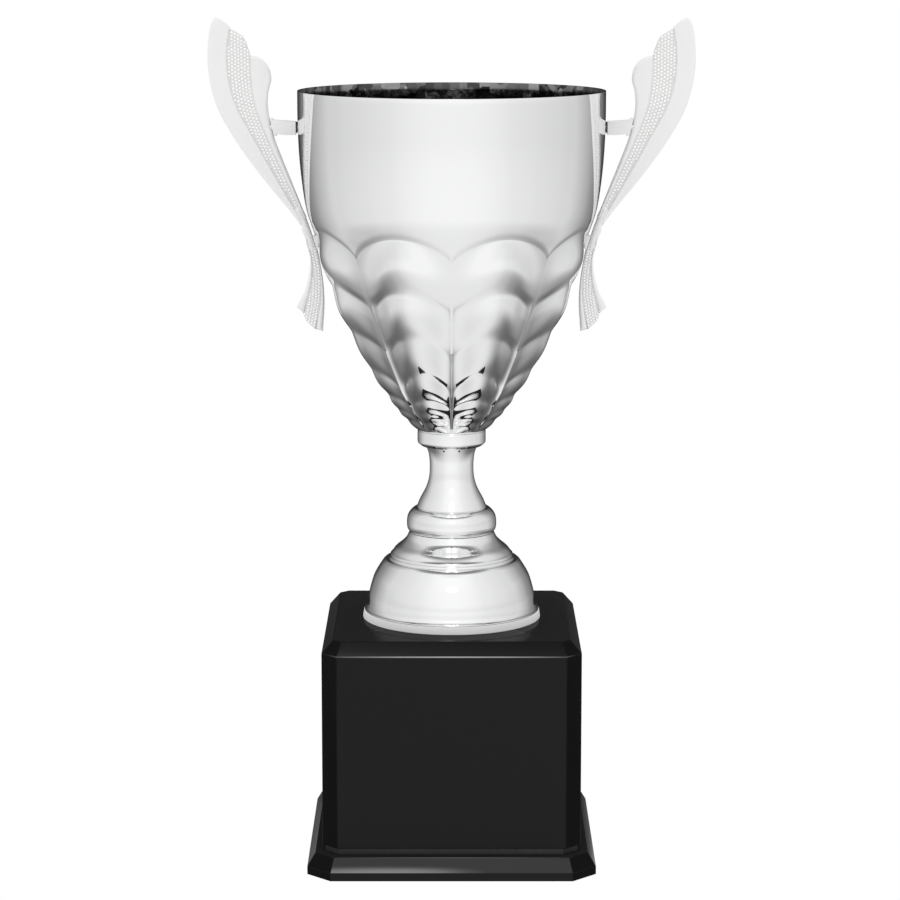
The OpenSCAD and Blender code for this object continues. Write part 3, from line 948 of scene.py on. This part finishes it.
# %% [markdown]
# ## Wing handles
#
# Each handle is one casting in two parts, a wing above the waist and a tail below it. Both have a
# smooth lobe on each side and a sunken field of pearls between them. Only the right handle is
# drawn, as lines of x and z that repeat the CAD's driving points; the left one is its mirror.
# Neighbouring parts share their dividing line, so no gap can open between a lobe and its field.

# %% Outlines of the right handle: x and z
inner_edge = [
    (104.9, 423), (99.6, 421.8), (95.3, 417.2), (93.8, 411.2), (95.4, 404), (95.7, 396),
    (93, 382), (88.1, 368.5), (81.4, 351.7), (75.7, 337)
]
outer_edge = [
    (117.6, 440.0), (122.3, 442.75), (124.6, 440.2), (126.6, 430), (126.7, 415), (122.6, 397),
    (114.2, 381.1), (104.4, 366.7), (94.6, 354), (86, 343.5), (78.9, 334.2)
]
outer_divide = [
    (114.9, 437.2), (116.4, 424), (115.4, 408.7), (111.7, 396.5), (103.8, 382), (91.3, 359.9),
    (77.9, 337.1)
]
inner_divide = [
    (104.9, 423), (104.7, 411), (102.7, 397.2), (96.1, 379.3), (86.3, 357.6), (77.4, 338.9)
]
pearl_top = [(104.9, 423), (106.2, 427.6), (108.6, 432.6), (112.2, 435.2), (114.9, 436.6)]
waist_outer = [
    (84.5, 342.2), (80.6, 337.3), (78.7, 334.2), (78.8, 332.3), (78.2, 330.4), (76.6, 327.2),
    (75.4, 321)
]
waist_inner = [(79.5, 346), (75.7, 337), (73.4, 330.5), (71.9, 325), (71, 319.5)]
tail_inner_edge = [(73.6, 331), (71.9, 325), (68.6, 312), (67, 296), (67.9, 278.5)]
tail_outer_edge = [
    (77.6, 330), (76.6, 327), (74.7, 320.5), (74.7, 311.5), (77.2, 300.5), (81.7, 291.5)
]
tail_inner_divide = [(74.6, 331), (71.9, 325), (69.3, 312), (68.9, 298), (71.9, 279.7)]
tail_outer_divide = [(76.4, 331), (75.4, 325), (73.2, 316), (73.4, 304), (77.8, 287.7)]
tail_bottom = [(71.9, 279.7), (74.4, 282), (76.9, 284.6), (77.8, 287.7)]
LOBE_DEPTH = 6.0
WAIST_DEPTH = 6.5
WEB_DEPTH = 4.4
print("handle reaches x =", max(x for x, z in outer_edge), "mm")

# %% [markdown]
# ### Lobes
#
# A lobe is a grid stretched between its two edges, crowned front and back like a worn pebble. A
# bevelled plate would have the same outline, but flat faces, and metal that was cast and polished
# never has those. The grid's lines crowd towards the edges, where the surface turns round. The
# wing's outer lobe has a bead along the pearls.


# %% Lobes
EDGE_ROUND = 1.5
BEAD_FROM_EDGE = 0.95
BEAD_WIDTH = 0.7


def resampled(keys, count):
    """count points at equal steps along the smooth line through keys."""
    line = smooth_line(keys, 12)
    runs = runs_along(line)
    places = np.linspace(0, runs[-1], count)
    xs = np.interp(places, runs, [p[0] for p in line])
    zs = np.interp(places, runs, [p[1] for p in line])
    return [Vector((float(x), float(z))) for x, z in zip(xs, zs)]


def edge_round(distance, radius):
    """0 at an edge, rising on a quarter circle to 1 at radius from it."""
    inside = min(max(distance / radius, 0.0), 1.0)
    return math.sqrt(max(0.0, 1 - (1 - inside) ** 2))


def add_lobe(
    bm, first_keys, second_keys, depth, along=90, across=20, bead=0.0, crown=0.25, end_round=1.6
):
    """Closed pebble-shaped strip between two lines, its bead running beside the first."""
    first, second = resampled(first_keys, along + 1), resampled(second_keys, along + 1)
    run = sum((b - a).length for a, b in zip(first, first[1:]))
    for side in (-1, 1):
        made = bmesh.ops.create_grid(bm, x_segments=along, y_segments=across, size=1)
        for vertex in made["verts"]:
            s = (vertex.co.x + 1) / 2
            u = 0.5 - 0.5 * math.cos(math.pi * (vertex.co.y + 1) / 2)
            a, b = first[round(s * along)], second[round(s * along)]
            width = (b - a).length
            spot = a.lerp(b, u)
            rim = edge_round(min(u, 1 - u) * width, min(EDGE_ROUND, width * 0.42 + 0.05))
            ends = edge_round(min(s, 1 - s) * run, end_round)
            rise = depth / 2 - crown + crown * math.sin(math.pi * u) ** 0.8
            beside = (u * width - BEAD_FROM_EDGE) / BEAD_WIDTH
            ridge = bead * math.exp(-(beside ** 2)) if width > 3 else 0.0
            vertex.co = (spot[0], side * (rise + ridge) * rim * ends, spot[1])


def lobes_mesh():
    """The smooth lobes and the waist of the right handle."""
    bm = bmesh.new()
    add_lobe(bm, outer_divide, outer_edge, LOBE_DEPTH, bead=0.45)
    add_lobe(bm, inner_divide, inner_edge, LOBE_DEPTH)
    add_lobe(bm, tail_outer_divide, tail_outer_edge, LOBE_DEPTH, along=44, across=12)
    add_lobe(bm, tail_inner_divide, tail_inner_edge, LOBE_DEPTH, along=44, across=12)
    add_lobe(bm, waist_outer, waist_inner, WAIST_DEPTH, along=50, across=14, end_round=2.4)
    return bm


def finish_handles(make, kind, finish):
    """Makes one part of the right handle, then again for the left, mirrored."""
    for side, node in ((1, "handle_right"), (-1, "handle_left")):
        bm = make()
        bmesh.ops.scale(bm, vec=(side, 1, 1), verts=bm.verts)
        finish_piece(bm, f"{node}_{kind}", "satin_silver", node, 50, FINISHES[finish])


finish_handles(lobes_mesh, "lobes", "satin_silver")

# %% [markdown]
# ### Field
#
# The ground that carries the pearls is a flat plate, thinner than the lobes. Its sides are tucked
# under them, so that the lobes seem to rise out of it, and its free edges are rounded.


# %% Field between the lobes
def add_plate(bm, outline, thickness, round_r=0.35):
    """Flat plate of that outline in the XZ plane, its front and back edges rounded."""
    verts = [bm.verts.new((x, -thickness / 2, z)) for x, z in outline]
    face = bm.faces.new(verts)
    made = bmesh.ops.extrude_face_region(bm, geom=[face])
    moved = [v for v in made["geom"] if isinstance(v, bmesh.types.BMVert)]
    bmesh.ops.translate(bm, verts=moved, vec=(0, thickness, 0))
    flats = {face, *[f for f in made["geom"] if isinstance(f, bmesh.types.BMFace)]}
    rims = [e for e in bm.edges if len(flats.intersection(e.link_faces)) == 1]
    bmesh.ops.bevel(
        bm, geom=rims, offset=round_r, offset_type="OFFSET", affect="EDGES", segments=2,
        profile=0.5, material=-1, clamp_overlap=True,
    )


def tucked(keys, shift):
    """A divide whose points move sideways under the lobe, all but its end at the pearls."""
    line = smooth_line(keys, 5)
    return [Vector((x + shift * min(1.0, 0.3 * k), z)) for k, (x, z) in enumerate(line)]


def field_mesh():
    """The sunken plates that carry the pearls, tucked under the lobes at both sides."""
    bm = bmesh.new()
    wing_inner, wing_outer = tucked(inner_divide, -1.2), tucked(outer_divide, 1.2)
    add_plate(bm, [*wing_inner[::-1], *smooth_line(pearl_top, 4)[1:], *wing_outer[1:]], WEB_DEPTH)
    tail_outer = tucked(tail_outer_divide[::-1], 0.8)
    tail_inner = tucked(tail_inner_divide[::-1], -0.5)
    add_plate(bm, [*smooth_line(tail_bottom, 3), *tail_outer[1:], *tail_inner[:0:-1]], WEB_DEPTH)
    return bm


finish_handles(field_mesh, "field", "matt_field_painted_shade")

# %% [markdown]
# ### Pearls
#
# The pearls stand in staggered columns that follow the inner dividing line and run out at the
# outer one. Each is a small ball of 48 faces sunk into the plate. A handle has some six hundred,
# so one ball is made by its operator and its corners are then repeated at every place; calling
# the operator each time would search the growing mesh again and again.


# %% Where the pearls stand
PEARL_R = 0.76
PEARL_SUNK = 0.05
PEARL_TO_DIVIDE = 0.25


def crossing(line, given, wanted, value):
    """Where a line comes to value on one axis: 0 is x and 1 is z."""
    order = sorted(line, key=lambda point: point[given])
    return float(np.interp(value, [p[given] for p in order], [p[wanted] for p in order]))


def pearl_places(left_keys, right_keys, pitch_across, pitch_along, columns, margin):
    """Staggered columns of pearls that follow the left line and end where the right one is near."""
    left, right = smooth_line(left_keys, 12), smooth_line(right_keys, 12)
    runs = runs_along(left)
    places = []
    for column in range(columns):
        offset = margin + column * pitch_across
        for s in np.arange(pitch_along * (0.5 if column % 2 else 0) - 20, runs[-1], pitch_along):
            inside = max(s, 0.0)
            x = float(np.interp(inside, runs, [p[0] for p in left]))
            z = float(np.interp(inside, runs, [p[1] for p in left]))
            i = min(int(np.searchsorted(runs, inside, side="right")), len(left) - 1)
            along = (left[i] - left[i - 1]).normalized()
            start = Vector((x, z)) + along * min(s, 0.0)
            spot = start + Vector((-along[1], along[0])) * offset
            if spot[0] < crossing(right, 1, 0, spot[1]) - PEARL_TO_DIVIDE:
                places.append(spot)
    return places


top_line, bottom_line = smooth_line(pearl_top, 8), smooth_line(tail_bottom, 8)
wing_places = [
    spot for spot in pearl_places(inner_divide, outer_divide, 1.66, 1.76, 9, 0.9)
    if spot[1] < crossing(top_line, 0, 1, spot[0]) - 0.7
]
tail_places = [
    spot for spot in pearl_places(tail_inner_divide, tail_outer_divide, 1.5, 1.6, 5, 0.9)
    if spot[1] > crossing(bottom_line, 0, 1, spot[0]) + 0.8
]
print(len(wing_places), "places on a wing,", len(tail_places), "on a tail")


# %% Pearls
def pearls_mesh():
    """A pearl at each place on the front and on the back, each a copy of one small ball."""
    ball = bmesh.new()
    bmesh.ops.create_uvsphere(ball, u_segments=8, v_segments=6, radius=PEARL_R)
    bmesh.ops.rotate(
        ball, verts=ball.verts, cent=(0, 0, 0), matrix=Matrix.Rotation(math.pi / 2, 3, "X")
    )
    corners = [v.co.copy() for v in ball.verts]
    faces = [[v.index for v in face.verts] for face in ball.faces]
    ball.free()
    bm = bmesh.new()
    for spot in [*wing_places, *tail_places]:
        for side in (-1, 1):
            middle = Vector((spot[0], side * (WEB_DEPTH / 2 - PEARL_SUNK), spot[1]))
            made = [bm.verts.new(corner + middle) for corner in corners]
            for face in faces:
                bm.faces.new([made[k] for k in face])
    return bm


finish_handles(pearls_mesh, "pearls", "pearl_painted_highlight")

# %% [markdown]
# ## Base
#
# Block and plinth are moulded with cut corners and bevelled top edges. Their edges are soft, and
# the soft edges are what draws the thin lines of light round a black gloss base, partly as real
# reflection and partly as a painted highlight in their black. Building them again would only
# repeat the CAD, so a copy of each CAD mesh is merged, its flat faces are made whole again, and a
# Bevel modifier rounds what is sharp. Straps, lugs, the nut in the cup and the pads get the same
# treatment. On the black pieces, each face takes its black by where it looks: lit and shaded
# copies of the one lacquer, with light or shade painted into their colours.


# %% Softened copies of CAD nodes
SHARP_ANGLE = math.radians(25)
FLAT_ANGLE = math.radians(1)
BLACKS = ["black_gloss", "black_flat", "black_corner", "black_edge_painted_highlight"]


# Each face gets a lit or shaded copy of the one black lacquer, with light or shade painted into its
# colour by where the face looks
def which_black(normal):
    """Place in BLACKS for a face: flat when square to an axis, corner when cut across one."""
    sizes = abs(normal.x), abs(normal.y), abs(normal.z)
    if max(sizes) > 0.99:
        return 1
    return 2 if min(sizes[:2]) > 0.1 else 0


def softened(name, slot, width):
    """A merged copy of a CAD node with its sharp edges rounded by width millimetres."""
    bm = bmesh.new()
    bm.from_mesh(nodes[name].data)
    bmesh.ops.remove_doubles(bm, verts=bm.verts, dist=1e-6)
    bmesh.ops.dissolve_limit(
        bm, angle_limit=FLAT_ANGLE, verts=bm.verts, edges=bm.edges, use_dissolve_boundaries=False
    )
    finishes = BLACKS if slot == "black_gloss" else [slot]
    for face in bm.faces:
        face.smooth = True
        face.material_index = which_black(face.normal) if len(finishes) > 1 else 0
    mesh = bpy.data.meshes.new(name + "_soft")
    bm.to_mesh(mesh)
    bm.free()
    piece = bpy.data.objects.new(name + "_soft", mesh)
    bpy.context.scene.collection.objects.link(piece)
    for finish in finishes:
        mesh.materials.append(FINISHES[finish])
    soft = piece.modifiers.new("soft edges", "BEVEL")
    soft.width = width * MM
    soft.segments = 3
    soft.limit_method = "ANGLE"
    soft.angle_limit = SHARP_ANGLE
    soft.harden_normals = True
    # The rounded edges take the black that carries the painted highlight line
    soft.material = BLACKS.index("black_edge_painted_highlight") if len(finishes) > 1 else -1
    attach(piece, "root")
    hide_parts(name)
    print(f"{name}: softened, {len(mesh.polygons)} faces")


# %% Soften the base, the straps and the small visible parts
# Each node's finish, and how wide its edges are rounded
SOFT_EDGES = {
    "base_block": ("black_gloss", 0.7),
    "plinth": ("black_gloss", 0.6),
    "shadow_board": ("black_board", 0.3),
    "upper_bracket_left": ("satin_silver", 0.3),
    "upper_bracket_right": ("satin_silver", 0.3),
    "lower_lug_left": ("satin_silver", 0.5),
    "lower_lug_right": ("satin_silver", 0.5),
    "bowl_washer": ("zinc_steel", 0.15),
    "bowl_nut": ("zinc_steel", 0.3),
    "feet": ("felt", 0.3),
    "bottom_board": ("hardboard", 0.2),
}
for name, (slot, width) in SOFT_EDGES.items():
    softened(name, slot, width)

# %% [markdown]
# ## CAD nodes that show as they are
#
# Washers, screws, the rod and its nut, the ballast and the clamp plate have the right shape
# already, and most of them are hidden. Their meshes stay as they are, and each takes the finish
# of its slot in the record.

# %% Finishes on the CAD nodes
slot_of = {part["node"]: part["material_slot"] for part in frame["record"]["subparts"]}
plain = [name for name in nodes if not nodes[name].hide_render]
for name in plain:
    mesh = nodes[name].data
    mesh.materials.clear()
    mesh.materials.append(FINISHES[slot_of[name]])
print("kept from the CAD:", ", ".join(sorted(plain)))
